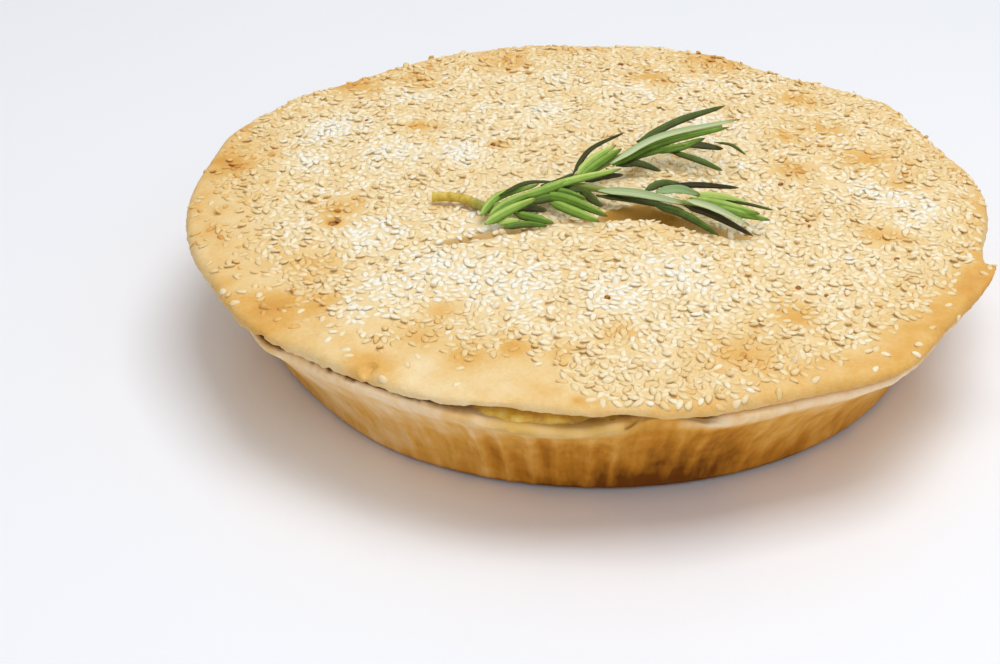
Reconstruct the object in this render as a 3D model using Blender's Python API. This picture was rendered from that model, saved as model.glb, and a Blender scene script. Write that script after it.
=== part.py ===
"""An artichoke pie with a sesame lid and a sprig of rosemary, at its real size in metres.

The pie stands on the plane z = 0 with its middle on the Z axis, and its front faces -Y.
Azimuths are in degrees, anticlockwise from +X as seen from above. Lists give millimetres.
"""

import math
import random

import bmesh
import bpy
from mathutils import Vector, noise
from mathutils.bvhtree import BVHTree

MM = 0.001
GAP = 0.3 * MM  # clearance between neighbouring pieces
UP = Vector((0, 0, 1))
SMOOTH_ANGLE = math.radians(25)

# The pastry case: rings of its section from the foot up, as radius, height, share of the flute depth
CASE_FOOT = (78.0, 0.0, 0.0)
CASE_WALL = ((80.1, 0.5, 0.3), (82.0, 3.6, 1.0), (88.2, 14.0, 1.0), (94.8, 23.8, 0.7))
CASE_WALL_STEPS = 192
FLUTE_DEPTH = 1.1 * MM
FLUTE_UNEVENNESS = 0.4  # share of the depth that comes and goes round the case
FLUTE_NOISE_RADIUS = 6

# The case's rim: radius, height, shares of the uneven reach and of the dip at the front
RIM = (
    (96.9, 26.2, 0.4, 0.2), (99.2, 27.8, 1.0, 0.7), (99.1, 29.8, 1.0, 1.0),
    (97.4, 30.7, 1.0, 1.0), (91.0, 30.5, 0.0, 0.6),
)
RIM_STEPS = 96
RIM_REACHES = (  # azimuth, half width, mm
    (200, 20, -1.6), (222, 7, 2.2), (236, 18, 1.4), (258, 22, 1.8), (277, 6, -3.4), (286, 18, 1.2),
    (307, 16, 3.0), (350, 24, -2.2),
)

# The inside of the case: radius, height
CASE_INSIDE = ((84.5, 18.0), (77.5, 6.2), (74.5, 4.2))
CASE_INSIDE_STEPS = 48

# The front, where the rim sinks, the lid lifts and the filling is squeezed out
OPENING_AZIMUTH = 266
OPENING_HALF_WIDTH = 20
RIM_DIP = 2.2 * MM
LID_LIFT = 0.4 * MM
FRONT_SAG = 1.2 * MM  # how much lower the rim and the lid lie at the front
FILLING_TOP_RINGS = ((68, 48), (40, 24))  # radius, steps
LIP_SECTIONS = 7
LIP_ROOT_RADIUS = 86 * MM  # where the squeezed lip starts, well inside the filling
LIP_REACH = 97.4 * MM
LIP_END_REACH = 93.4 * MM

# The lid
SEAM_HEIGHT = 31.0 * MM  # underside of the lid where it lies on the rim
LID_RADIUS = 100 * MM
LID_BEARING_RADIUS = 91 * MM  # inside this the lid's underside is domed
LID_UNDER_RISE = 3.3 * MM
LID_SHOULDER_HEIGHT = 34.2 * MM
LID_DOME_RADIUS = 97 * MM
LID_DOME_RISE = 3.2 * MM
LID_BUMP = 0.7 * MM
LID_BUMP_SPACING = 26 * MM
LID_LIFTS = ((213, 6, 0.8), (244, 5, 0.7))  # where the edge stands off the rim: azimuth, half width, mm
LID_LOBES = (  # the wavy outline: azimuth, half width, mm
    (34, 10, 2.8), (17, 10, -1.5), (53, 11, -3.0), (68, 9, 2.4), (79, 9, 2.6), (127, 22, -2.7),
    (158, 12, 1.6), (190, 26, 0.5), (219, 13, 1.7), (240, 8, -0.3), (262, 14, -1.9), (289, 7, -0.4),
    (309, 15, 3.4), (345, 11, -2.6),
)
LID_EDGE = ((0.4, 31.0, 1.0), (0.0, 32.2, 0.7), (0.6, 33.5, 0.5))  # inset, height, share of the lift
LID_EDGE_STEPS = 120
LID_SHOULDER_INSET = 3.4 * MM
LID_TOP_RINGS = ((0.87, 120), (0.72, 60), (0.56, 60), (0.37, 30), (0.18, 30))  # share of radius, steps
LID_UNDER_RINGS = ((91, 60), (68, 60), (40, 30))  # radius, steps

# The torn flap at the right: its outline grows from START to TEAR, and ends there in a step
FLAP_START = 320
FLAP_TEAR = 337.5
FLAP_REACH = 2.2 * MM
TEAR_HALF_WIDTH = 0.4

# The steam vent, a shallow cut in the lid: points along it, with its height taken from the lid
VENT = ((-35, -26), (-27, -28), (-18, -27.5), (-8, -23), (4, -18.5), (17, -18), (28, -22), (36, -25.5))
VENT_HALF_WIDTH = 3.6 * MM
VENT_DEPTH = 1.6 * MM

# Sesame seeds, spread by the golden angle over the lid
SEED_COUNT = 150
SEED_LENGTH = 3.2 * MM
SEED_WIDTH = 2.0 * MM
SEED_THICKNESS = 1.4 * MM
SEED_SECTIONS = ((0.22, 0.78), (0.55, 1.0), (0.85, 0.5))  # share of the length, share of the width
SEED_FIELD_RADIUS = 93 * MM
SEED_SCATTER = 2 * MM
SEED_SINK = 0.1 * MM  # depth of a seed's middle under the lid's surface
SPRIG_CLEARANCE = 7 * MM
ABOVE_PIE = UP * 60 * MM
BARE_PATCHES = (  # seedless dough: x, y, radius
    (-91, 12, 12), (-93, -12, 11), (-86, -36, 11), (-73, -61, 11), (-26, -91, 12), (-48, -80, 8),
    (-4, -92, 10), (62, -71, 9), (82, -48, 8), (70, 27, 6), (65, 19, 5), (-50, 62, 6), (35, 90, 7),
)

# The sprig: points along its woody stem and its two branches
BRANCHES = {
    "stem": ((-39, -13, 38.8), (-33, -13.5, 39.1), (-28, -17, 39.4), (-23, -20.5, 39.7),
             (-17, -18.5, 40.2), (-10.5, -13, 40.8), (-3, -7, 41.3)),
    "upper": ((-7, -10.5, 41.1), (3, -4.5, 42.2), (12, 1, 43.5), (25, 8, 45.5), (34, 14, 47)),
    "lower": ((-7, -10.5, 41.1), (4, -11, 41), (14, -15, 41), (26, -19, 41), (35, -24, 41)),
}
BRANCH_RADII = {"stem": (1.15, 1.0), "upper": (0.95, 0.6), "lower": (0.95, 0.6)}  # at its two ends
BRANCH_SIDES = 6
LEAF_THICKNESS = 0.9 * MM
LEAF_SECTIONS = ((0.0, 0.5), (0.3, 1.0), (0.7, 0.9), (0.93, 0.45))  # share of length, share of width
LEAVES = (  # branch, place along it in points, tip, width, arch
    ("stem", 2.3, (-14, -12, 43), 2.2, 1.0), ("stem", 2.6, (-16, -15, 42.2), 2.0, 0.8),
    ("stem", 2.9, (-14, -21, 42.8), 2.6, 0.4), ("stem", 3.1, (-12, -22.5, 40.8), 2.6, 0.5),
    ("stem", 3.2, (-16.5, -27, 39.4), 2.0, 0.3), ("stem", 3.9, (-9, -28, 39.4), 2.2, 0.4),
    ("stem", 4.2, (-4, -8, 43), 2.2, 0.6), ("stem", 4.9, (2, -27, 39.6), 3.0, 0.8),
    ("stem", 4.7, (8, -6, 44), 2.4, 1.6), ("stem", 5.5, (3, -19, 39.6), 2.0, 0.4),
    ("stem", 5.6, (8, -7, 43), 1.8, 0.3), ("stem", 5.8, (8, 3, 50), 1.6, 0.8),
    ("stem", 6.0, (7, 1, 47), 2.4, 0.5), ("stem", 5.2, (-3, -24, 39.5), 2.0, 0.5),
    ("upper", 0.9, (21, 6, 46.5), 2.4, 0.6), ("upper", 1.3, (28, 13, 46.8), 2.6, 0.8),
    ("upper", 2.2, (35, 20, 50), 2.2, -0.5), ("upper", 2.4, (35, 14, 45.5), 2.2, 0.5),
    ("upper", 2.9, (40, 16, 48.5), 2.8, 0.4), ("upper", 3.0, (40, 11, 40.5), 2.0, 1.2),
    ("upper", 2.7, (34, 11, 41), 2.2, 0.8), ("upper", 2.1, (33, 2, 39.8), 2.0, 0.8),
    ("upper", 1.6, (18, 2, 39.8), 2.0, 0.5),
    ("lower", 0.5, (21, -21, 42), 2.4, 0.8), ("lower", 0.8, (23, -20, 40), 1.8, 0.2),
    ("lower", 1.8, (24, -15.5, 43.5), 2.8, 0.5), ("lower", 2.0, (36, -15, 43.5), 1.8, 0.5),
    ("lower", 2.0, (29, -33, 39.4), 1.8, 0.4), ("lower", 2.8, (37, -32, 41), 2.4, 0.6),
    ("lower", 3.0, (42, -28, 41.5), 3.0, 0.6), ("lower", 3.0, (38, -31.5, 39.5), 1.8, 0.2),
    ("lower", 3.7, (43, -25, 42.5), 2.0, 0.3),
)


# ---------------------------------------------------------------- shapes of the pie's surfaces

def bump(azimuth, centre, half_width):
    """A smooth hill round an azimuth: 1 at its centre, 0 from half_width degrees away."""
    away = abs((azimuth - centre + 180) % 360 - 180)
    return math.cos(math.pi / 2 * min(away / half_width, 1)) ** 2


def lobes(azimuth, hills):
    """The sum of hills at an azimuth, in metres; each hill is azimuth, half width and millimetres."""
    return sum(height * MM * bump(azimuth, centre, half_width) for centre, half_width, height in hills)


def polar(radius, azimuth, height):
    turn = math.radians(azimuth)
    return Vector((radius * math.cos(turn), radius * math.sin(turn), height))


def settle(point):
    """A point of the rim, the lid or the filling's top, let down by the sag towards the front."""
    return point - UP * FRONT_SAG * min(0, point.y / LID_RADIUS) ** 2


def opening(azimuth):
    """How far the pie's front is open at an azimuth, from 0 to 1."""
    return bump(azimuth, OPENING_AZIMUTH, OPENING_HALF_WIDTH)


def lid_lift(azimuth):
    """How far the lid's edge stands off its seat on the rim."""
    return lobes(azimuth, LID_LIFTS) + LID_LIFT * opening(azimuth)


def lid_radius(azimuth):
    radius = LID_RADIUS + lobes(azimuth, LID_LOBES)
    if FLAP_START < azimuth < FLAP_TEAR:
        radius += FLAP_REACH * ((azimuth - FLAP_START) / (FLAP_TEAR - FLAP_START)) ** 2
    return radius


def lid_under_height(radius):
    """The lid's underside, domed inside its bearing on the rim."""
    return SEAM_HEIGHT + LID_UNDER_RISE * max(0, 1 - (radius / LID_BEARING_RADIUS) ** 2)


def lid_top_height(x, y):
    """The lid's upper surface: a low dome with soft bumps."""
    dome = LID_DOME_RISE * (1 - (math.hypot(x, y) / LID_DOME_RADIUS) ** 2)
    return LID_SHOULDER_HEIGHT + dome + LID_BUMP * noise.noise(Vector((x, y, 0)) / LID_BUMP_SPACING)


def edge_azimuth(azimuth):
    """An azimuth of the lid's edge, moved up to the tear if it is one of the two beside it."""
    away = azimuth - FLAP_TEAR
    if abs(away) >= 360 / LID_EDGE_STEPS:
        return azimuth
    return FLAP_TEAR + math.copysign(TEAR_HALF_WIDTH, away)


# ---------------------------------------------------------------- mesh building

def add_ring(mesh, steps, place):
    """A closed ring of vertices, each where place puts its azimuth."""
    return [mesh.verts.new(place(360 * step / steps)) for step in range(steps)]


def join_rings(mesh, fine, coarse):
    """A band of triangles between two rings, one of which may have several times more vertices."""
    if len(fine) < len(coarse):
        fine, coarse = coarse, fine
    ratio = len(fine) // len(coarse)
    for number, near in enumerate(coarse):
        far = coarse[(number + 1) % len(coarse)]
        for part in range(ratio):
            first = fine[number * ratio + part]
            second = fine[(number * ratio + part + 1) % len(fine)]
            mesh.faces.new((near if part <= ratio // 2 - (ratio > 1) else far, first, second))
            if part == (ratio - 1) // 2:
                mesh.faces.new((near, second, far))


def join_to_point(mesh, ring, point):
    tip = mesh.verts.new(point)
    for number, vertex in enumerate(ring):
        mesh.faces.new((vertex, ring[(number + 1) % len(ring)], tip))


def close_lathe(mesh, rings):
    """Joins each ring to the next."""
    for near, far in zip(rings, rings[1:]):
        join_rings(mesh, near, far)


def add_spindle(mesh, points, half_widths, half_heights, sides=6, blunt_start=True, blunt_end=False):
    """A closed body along points, of flattened round section. An end that isn't blunt is its last point."""
    rings = []
    for number, point in enumerate(points):
        before = points[max(number - 1, 0)]
        after = points[min(number + 1, len(points) - 1)]
        across = (after - before).cross(UP).normalized()
        over = across.cross(after - before).normalized()
        if (number == 0 and not blunt_start) or (number == len(points) - 1 and not blunt_end):
            continue
        rings.append([
            mesh.verts.new(
                point
                + across * (half_widths[number] * math.cos(2 * math.pi * side / sides))
                + over * (half_heights[number] * math.sin(2 * math.pi * side / sides))
            )
            for side in range(sides)
        ])
    close_lathe(mesh, rings)
    for ring, point, blunt in ((rings[0], points[0], blunt_start), (rings[-1], points[-1], blunt_end)):
        if blunt:
            mesh.faces.new(ring)
        else:
            join_to_point(mesh, ring, point)


def along(knots, place):
    """A point on the smooth curve through knots, where place counts knots from the first."""
    number = min(int(place), len(knots) - 2)
    share = place - number
    start, end = knots[number], knots[number + 1]
    before = knots[number - 1] if number else start * 2 - end
    after = knots[number + 2] if number + 2 < len(knots) else end * 2 - start
    return 0.5 * (
        2 * start
        + (end - before) * share
        + (2 * before - 5 * start + 4 * end - after) * share**2
        + (3 * start - before - 3 * end + after) * share**3
    )


def shade(data):
    data.shade_smooth()
    data.set_sharp_from_angle(angle=SMOOTH_ANGLE)


def make_object(mesh, name, material):
    """An object of a finished mesh, with its faces outwards and smooth shading."""
    bmesh.ops.recalc_face_normals(mesh, faces=mesh.faces)
    data = bpy.data.meshes.new(name)
    mesh.to_mesh(data)
    mesh.free()
    data.materials.append(material)
    shade(data)
    made = bpy.data.objects.new(name, data)
    bpy.context.collection.objects.link(made)
    return made


def combine(base, operation, pieces):
    """Joins pieces to base or cuts them from it in one Boolean, then removes them."""
    group = bpy.data.collections.new("operands")
    bpy.context.scene.collection.children.link(group)
    for piece in pieces:
        bpy.context.collection.objects.unlink(piece)
        group.objects.link(piece)
    boolean = base.modifiers.new("combine", "BOOLEAN")
    boolean.operation = operation
    boolean.operand_type = "COLLECTION"
    boolean.collection = group
    boolean.solver = "EXACT"
    bpy.context.view_layer.objects.active = base
    bpy.ops.object.modifier_apply(modifier=boolean.name)
    shade(base.data)
    for piece in pieces:
        bpy.data.objects.remove(piece, do_unlink=True)
    bpy.data.collections.remove(group)


def plain_material(name, colour, roughness):
    material = bpy.data.materials.new(name)
    material.use_nodes = True
    shader = material.node_tree.nodes["Principled BSDF"]
    shader.inputs["Base Color"].default_value = (*colour, 1)
    shader.inputs["Roughness"].default_value = roughness
    shader.inputs["Metallic"].default_value = 0
    return material


# ---------------------------------------------------------------- the pieces

def rim_point(radius, height, reach_share, dip_share, azimuth):
    """A point of the rim, which reaches further or less far and sinks at the front."""
    radius = radius * MM + reach_share * lobes(azimuth, RIM_REACHES)
    return settle(polar(radius, azimuth, height * MM - dip_share * RIM_DIP * opening(azimuth)))


def wall_point(radius, height, share, azimuth):
    """A point of the fluted wall: ridges and valleys take turns, deeper in some places than in others."""
    ridge = math.cos(math.radians(azimuth * CASE_WALL_STEPS / 2))
    wander = noise.noise(polar(FLUTE_NOISE_RADIUS, azimuth, 0))
    depth = FLUTE_DEPTH * (1 - FLUTE_UNEVENNESS * (1 - wander))
    return polar(radius * MM + share * depth * ridge / 2, azimuth, height * MM)


def make_base_crust():
    """The open case: flat foot, flaring fluted wall, rounded rim and a plain inside."""
    mesh = bmesh.new()
    rings = [
        add_ring(mesh, CASE_WALL_STEPS, lambda azimuth, row=row: wall_point(*row, azimuth))
        for row in (CASE_FOOT, *CASE_WALL)
    ]
    rings += [
        add_ring(mesh, RIM_STEPS, lambda azimuth, row=row: rim_point(*row, azimuth)) for row in RIM
    ]
    rings += [
        add_ring(mesh, CASE_INSIDE_STEPS, lambda azimuth, row=row: polar(row[0] * MM, azimuth, row[1] * MM))
        for row in CASE_INSIDE
    ]
    close_lathe(mesh, rings)
    mesh.faces.new(rings[0])
    mesh.faces.new(rings[-1])
    return make_object(mesh, "base_crust", plain_material("baked shortcrust", (0.45, 0.22, 0.07), 0.6))


def make_filling_lip(material):
    """The strip of filling that is squeezed out over the sunken rim, section by section."""
    step = 360 / RIM_STEPS
    first = round(OPENING_AZIMUTH / step) - LIP_SECTIONS // 2
    mesh = bmesh.new()
    sections = []
    for number in range(LIP_SECTIONS):
        azimuth = (first + number) * step
        swell = math.sin(math.pi * number / (LIP_SECTIONS - 1))
        reach = LIP_END_REACH + (LIP_REACH - LIP_END_REACH) * swell
        corner = rim_point(*RIM[-1], azimuth)
        edge = rim_point(*RIM[-2], azimuth)
        seat = SEAM_HEIGHT - GAP
        rise = lid_lift(azimuth) * (reach - LID_BEARING_RADIUS) / (lid_radius(azimuth) - LID_BEARING_RADIUS)
        sections.append([mesh.verts.new(point) for point in (
            polar(LIP_ROOT_RADIUS, azimuth, corner.z + GAP),
            polar(corner.xy.length, azimuth, corner.z + GAP),
            polar(reach, azimuth, edge.z + GAP),
            settle(polar(reach, azimuth, seat + rise)),
            settle(polar(LID_BEARING_RADIUS, azimuth, seat)),
            settle(polar(LIP_ROOT_RADIUS, azimuth, seat)),
        )])
    close_lathe(mesh, sections)
    mesh.faces.new(sections[0])
    mesh.faces.new(sections[-1])
    return make_object(mesh, "filling_lip", material)


def make_filling():
    """The filling, which fills the case up to the lid and is squeezed out at the front."""
    corner_radius, corner_height = RIM[-1][:2]
    side = corner_radius * MM - 1.5 * GAP
    mesh = bmesh.new()
    rings = [
        add_ring(mesh, CASE_INSIDE_STEPS, lambda azimuth, row=row: polar(
            row[0] * MM - GAP, azimuth, row[1] * MM + GAP / 2))
        for row in reversed(CASE_INSIDE)
    ]
    top_rings = [
        (RIM_STEPS, side, corner_height * MM - GAP),
        (RIM_STEPS, side - GAP, SEAM_HEIGHT - GAP),
        *((steps, radius * MM, lid_under_height(radius * MM) - 1.5 * GAP)
          for radius, steps in FILLING_TOP_RINGS),
    ]
    rings += [
        add_ring(mesh, steps, lambda azimuth, row=row: settle(polar(row[0], azimuth, row[1])))
        for steps, *row in top_rings
    ]
    close_lathe(mesh, rings)
    mesh.faces.new(rings[0])
    join_to_point(mesh, rings[-1], Vector((0, 0, lid_under_height(0) - 1.5 * GAP)))
    material = plain_material("artichoke filling", (0.50, 0.36, 0.07), 0.45)
    filling = make_object(mesh, "filling", material)
    combine(filling, "UNION", [make_filling_lip(material)])
    return filling


def make_lid_body():
    """The bare lid: a low dome with a wavy edge and the torn flap."""
    def edge_point(inset, height, share, azimuth):
        azimuth = edge_azimuth(azimuth)
        lift = share * lid_lift(azimuth)
        return settle(polar(lid_radius(azimuth) - inset * MM, azimuth, height * MM + lift))

    def top_point(share, azimuth, inset=0):
        flat = polar(share * lid_radius(azimuth) - inset, azimuth, 0)
        return settle(flat + UP * lid_top_height(flat.x, flat.y))

    mesh = bmesh.new()
    rings = [
        add_ring(mesh, steps, lambda azimuth, r=radius * MM: settle(polar(r, azimuth, lid_under_height(r))))
        for radius, steps in reversed(LID_UNDER_RINGS)
    ]
    join_to_point(mesh, rings[0], Vector((0, 0, lid_under_height(0))))
    rings += [
        add_ring(mesh, LID_EDGE_STEPS, lambda azimuth, row=row: edge_point(*row, azimuth))
        for row in LID_EDGE
    ]
    rings.append(add_ring(mesh, LID_EDGE_STEPS, lambda azimuth: top_point(
        1, edge_azimuth(azimuth), LID_SHOULDER_INSET)))
    rings += [
        add_ring(mesh, steps, lambda azimuth, share=share: top_point(share, azimuth))
        for share, steps in LID_TOP_RINGS
    ]
    close_lathe(mesh, rings)
    join_to_point(mesh, rings[-1], Vector((0, 0, lid_top_height(0, 0))))
    return make_object(mesh, "lid_crust", plain_material("sesame shortcrust", (0.72, 0.48, 0.24), 0.6))


def make_vent_cutter(material):
    """A long lens that lies half in the lid, under the sprig."""
    points = [settle(Vector((x * MM, y * MM, lid_top_height(x * MM, y * MM)))) for x, y in VENT]
    shares = [math.sin(math.pi * number / (len(points) - 1)) ** 0.5 for number in range(len(points))]
    mesh = bmesh.new()
    add_spindle(
        mesh, points, [VENT_HALF_WIDTH * share for share in shares],
        [VENT_DEPTH * share for share in shares], sides=8, blunt_start=False,
    )
    cutter = make_object(mesh, "vent_cutter", material)
    cutter.hide_render = True
    cutter.display_type = "WIRE"
    return cutter


def make_seed(name, where, lean, turn, material):
    """One sesame seed: a flat drop that lies on the lid along its slope."""
    axis = Vector((math.cos(turn), math.sin(turn), 0))
    axis = (axis - lean * axis.dot(lean)).normalized()
    start = where - axis * SEED_LENGTH / 2
    sections = ((0, 0), *SEED_SECTIONS, (1, 0))
    points = [start + axis * SEED_LENGTH * share for share, _ in sections]
    widths = [width for _, width in sections]
    mesh = bmesh.new()
    add_spindle(
        mesh, points, [SEED_WIDTH / 2 * width for width in widths],
        [SEED_THICKNESS / 2 * width for width in widths], blunt_start=False,
    )
    return make_object(mesh, name, material)


def segment_distance(point, start, end):
    """The distance in plan from a point to a segment."""
    run = (end - start).to_2d()
    share = (point - start).to_2d().dot(run) / run.length_squared
    nearest = start.to_2d() + run * min(max(share, 0), 1)
    return (point.to_2d() - nearest).length


def seed_places():
    """Places spread evenly over the lid, without those on bare dough, in the vent or under the sprig."""
    rows = [[Vector(knot) * MM for knot in knots] for knots in BRANCHES.values()]
    rows.append([Vector((x, y, 0)) * MM for x, y in VENT])
    golden_angle = math.pi * (3 - math.sqrt(5))
    draw = random.Random(8)
    for number in range(SEED_COUNT):
        radius = SEED_FIELD_RADIUS * math.sqrt((number + 0.5) / SEED_COUNT)
        angle = number * golden_angle
        place = Vector((radius * math.cos(angle), radius * math.sin(angle), 0))
        place += SEED_SCATTER * Vector((draw.uniform(-1, 1), draw.uniform(-1, 1), 0))
        turn = draw.uniform(0, 2 * math.pi)
        bare = any((place - Vector((x, y, 0)) * MM).length < size * MM for x, y, size in BARE_PATCHES)
        covered = any(
            segment_distance(place, start, end) < SPRIG_CLEARANCE
            for row in rows for start, end in zip(row, row[1:])
        )
        if not bare and not covered:
            yield place, turn


def make_lid_crust():
    lid = make_lid_body()
    material = lid.data.materials[0]
    combine(lid, "DIFFERENCE", [make_vent_cutter(material)])
    surface = BVHTree.FromObject(lid, bpy.context.evaluated_depsgraph_get())
    seeds = []
    for place, turn in seed_places():
        where, lean, _, _ = surface.ray_cast(place + ABOVE_PIE, -UP)
        seeds.append(make_seed(f"seed_{len(seeds)}", where - lean * SEED_SINK, lean, turn, material))
    combine(lid, "UNION", seeds)
    return lid


def make_branch(name, material):
    knots = [Vector(knot) * MM for knot in BRANCHES[name]]
    points = [along(knots, number / 2) for number in range(2 * len(knots) - 1)]
    start, end = BRANCH_RADII[name]
    radii = [(start + (end - start) * number / (len(points) - 1)) * MM for number in range(len(points))]
    mesh = bmesh.new()
    add_spindle(mesh, points, radii, radii, sides=BRANCH_SIDES, blunt_end=True)
    return make_object(mesh, name, material)


def make_leaf(name, branch, place, tip, width, arch, material):
    """One needle: a narrow flattened leaf from the middle of its branch to a pointed tip."""
    base = along([Vector(knot) * MM for knot in BRANCHES[branch]], place)
    tip = Vector(tip) * MM
    sections = (*LEAF_SECTIONS, (1, 0))
    points = [
        base.lerp(tip, share) + UP * (arch * MM * 4 * share * (1 - share)) for share, _ in sections
    ]
    mesh = bmesh.new()
    add_spindle(
        mesh, points, [width / 2 * MM * part for _, part in sections],
        [LEAF_THICKNESS / 2 * part for _, part in sections],
    )
    return make_object(mesh, name, material)


def make_sprig():
    """The forked sprig of rosemary, one body of its stem, branches and leaves."""
    material = plain_material("rosemary leaf", (0.10, 0.20, 0.04), 0.5)
    sprig = make_branch("stem", material)
    sprig.name = "rosemary_sprig"
    pieces = [make_branch(name, material) for name in ("upper", "lower")]
    for number, leaf in enumerate(LEAVES):
        pieces.append(make_leaf(f"leaf_{number}", *leaf, material))
    combine(sprig, "UNION", pieces)
    return sprig


def main():
    for thing in list(bpy.data.objects):
        bpy.data.objects.remove(thing, do_unlink=True)
    make_base_crust()
    make_filling()
    make_lid_crust()
    make_sprig()


main()
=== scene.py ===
"""Looks of a whole artichoke pie: fluted case, filling, sesame lid and a sprig of rosemary.

Lengths are in millimetres until MM turns them to metres. Azimuths are in degrees, anticlockwise from +X
as seen from above, and the pie's front faces -Y.
"""

import math
import random

import bmesh
import bpy
import numpy as np
from mathutils import Euler, Matrix, Vector, noise
from mathutils.bvhtree import BVHTree


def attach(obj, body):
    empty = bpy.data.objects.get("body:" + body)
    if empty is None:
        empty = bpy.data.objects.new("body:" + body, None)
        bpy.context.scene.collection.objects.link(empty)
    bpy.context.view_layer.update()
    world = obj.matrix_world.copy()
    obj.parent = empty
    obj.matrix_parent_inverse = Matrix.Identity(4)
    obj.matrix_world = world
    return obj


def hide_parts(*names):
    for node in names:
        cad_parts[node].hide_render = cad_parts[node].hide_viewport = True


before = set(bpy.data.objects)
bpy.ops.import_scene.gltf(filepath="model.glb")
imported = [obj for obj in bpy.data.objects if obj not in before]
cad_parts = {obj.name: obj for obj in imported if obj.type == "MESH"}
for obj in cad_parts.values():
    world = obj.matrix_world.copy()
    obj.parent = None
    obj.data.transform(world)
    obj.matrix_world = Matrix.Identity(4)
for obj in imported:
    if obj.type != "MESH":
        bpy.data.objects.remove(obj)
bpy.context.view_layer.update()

MM = 0.001
UP = Vector((0, 0, 1))
SHARP_EDGE, SHARP_TWIG_EDGE = 60, 50  # degrees above which an edge stays sharp

# ---------------------------------------------------------------- the pie's measures

# The front, where the rim sinks and the filling is squeezed out
OPENING_AZIMUTH = 266
OPENING_HALF_WIDTH = 20
RIM_DIP = 2.2
LID_LIFT = 0.4
FRONT_SAG = 1.2

# The case from the foot up: radius, height, shares of the flutes, of the rim's reach and of its dip
CASE = (
    (70.0, 0.0, 0.0, 0.0, 0.0), (78.4, 0.0, 0.0, 0.0, 0.0), (80.2, 0.25, 0.05, 0.0, 0.0),
    (81.6, 1.0, 0.15, 0.0, 0.0), (82.5, 2.2, 0.35, 0.0, 0.0), (83.5, 4.6, 0.6, 0.0, 0.0),
    (85.5, 8.8, 0.9, 0.0, 0.0), (88.2, 14.0, 1.0, 0.05, 0.0), (91.3, 18.9, 0.8, 0.2, 0.0),
    (93.9, 22.8, 0.4, 0.42, 0.1), (95.8, 25.4, 0.12, 0.64, 0.3), (97.3, 27.3, 0.0, 0.86, 0.55),
    (98.3, 28.5, 0.0, 1.0, 0.8), (98.7, 29.4, 0.0, 1.0, 1.0), (98.4, 30.1, 0.0, 1.0, 1.0),
    (97.6, 30.55, 0.0, 0.95, 1.0), (96.2, 30.6, 0.0, 0.8, 1.0), (94.0, 30.3, 0.0, 0.4, 1.0),
    (91.4, 30.0, 0.0, 0.0, 0.8),
)
CASE_INSIDE = ((84.8, 18.0, 0, 0, 0), (77.8, 6.0, 0, 0, 0), (74.5, 4.1, 0, 0, 0))
CASE_STEPS = 1152  # points round each of its rings
CASE_SPACING = 0.75  # about how far apart the rings are
CASE_TOP = 30.7  # nothing of the rim is higher
FLUTES = 90
FLUTE_DEPTH = 1.15
FLUTES_FRONT = 44  # degrees from the opening's middle to where the flutes are faint
FLUTES_FAINT = 0.12  # how deep they are there
RIM_RADIUS = 98.7  # at its widest
RIM_REACHES = (  # azimuth, half width, how much farther it reaches
    (200, 20, -1.6), (222, 7, 2.2), (236, 18, 1.4), (258, 22, 1.8), (277, 6, -3.4), (286, 18, 1.2),
    (308, 16, 3.7), (350, 24, -2.2),
)
BROKEN_RISES = ((265, 272, 1.3), (272.6, 275.4, 1.7))  # where the rim climbs to a raised piece: from, to, by
BROKEN_END = 283
FOOT_REACHES = ((213, 27, -2.0),)  # azimuth, half width, reach: the foot is drawn in at the left

# How brown the case is, from 0 to 1, and how much browner or paler round some azimuths, with half widths
# the wall is browner round the front, and more so at the foot
DARKER_FRONT = (277, 36)
WALL_TONE = 0.41
WALL_TONES = ((*DARKER_FRONT, 0.27), (281, 11, 0.08), (225, 35, -0.2))
FOOT_TONE = 0.16
# painted contact shade: darker at the very foot, where it meets the floor
FOOT_CONTACT_SHADE = 0.35
# painted highlight and shade: paler on the flutes' ridges, darker in their hollows
FLUTE_LIGHT_AND_SHADE = -0.24
RIM_TONE = 0.09
RIM_TONES = ((308, 24, -0.08),)

# The crack in front of the raised piece, painted as a dark line of shade, and how far it goes on to the right
# and up
CRACK_AZIMUTH = 272.2
CRACK_HEIGHT = 27.3
CRACK_RUN = 3.4
CRACK_RISE = 2.4

# The painted shadow in the seam under the lid's edge, measured inwards from the rim, and where it reaches
# farther out
SEAM_START = 1.15
SEAM_STARTS = ((222, 6, -1.0), (251, 5, -0.6))
SEAM_END = 1.45

# The filling from the inside of the foot up: radius, height, share of the squeezed lip
FILLING = (
    (74.0, 4.5, 0.0), (84.2, 18.2, 0.0), (90.2, 27.2, 0.0), (91.0, 28.0, 0.5), (91.3, 28.6, 0.85),
    (91.2, 29.3, 1.0), (90.9, 30.0, 1.0), (90.4, 30.7, 0.95), (89.5, 31.0, 0.5), (86.0, 31.0, 0.0),
    (60.0, 32.2, 0.0), (30.0, 33.2, 0.0),
)
FILLING_STEPS = 720
LIP_REACHES = ((256.5, 8, 7.6), (264.5, 8, 5.6), (272, 4.2, 7.6))  # azimuth, half width, reach of each bulge
LIP_SAG = 0.8
FILLING_DROP = 0.15

# The lid
LID_RADIUS = 100.0
LID_SEAM = 31.0
LID_SHOULDER = 34.2
LID_SHOULDER_INSET = 3.2
LID_UPPER_SIDE = 33  # all of it is higher
LID_DOME_RADIUS = 97.0
LID_DOME_RISE = 3.2
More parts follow.
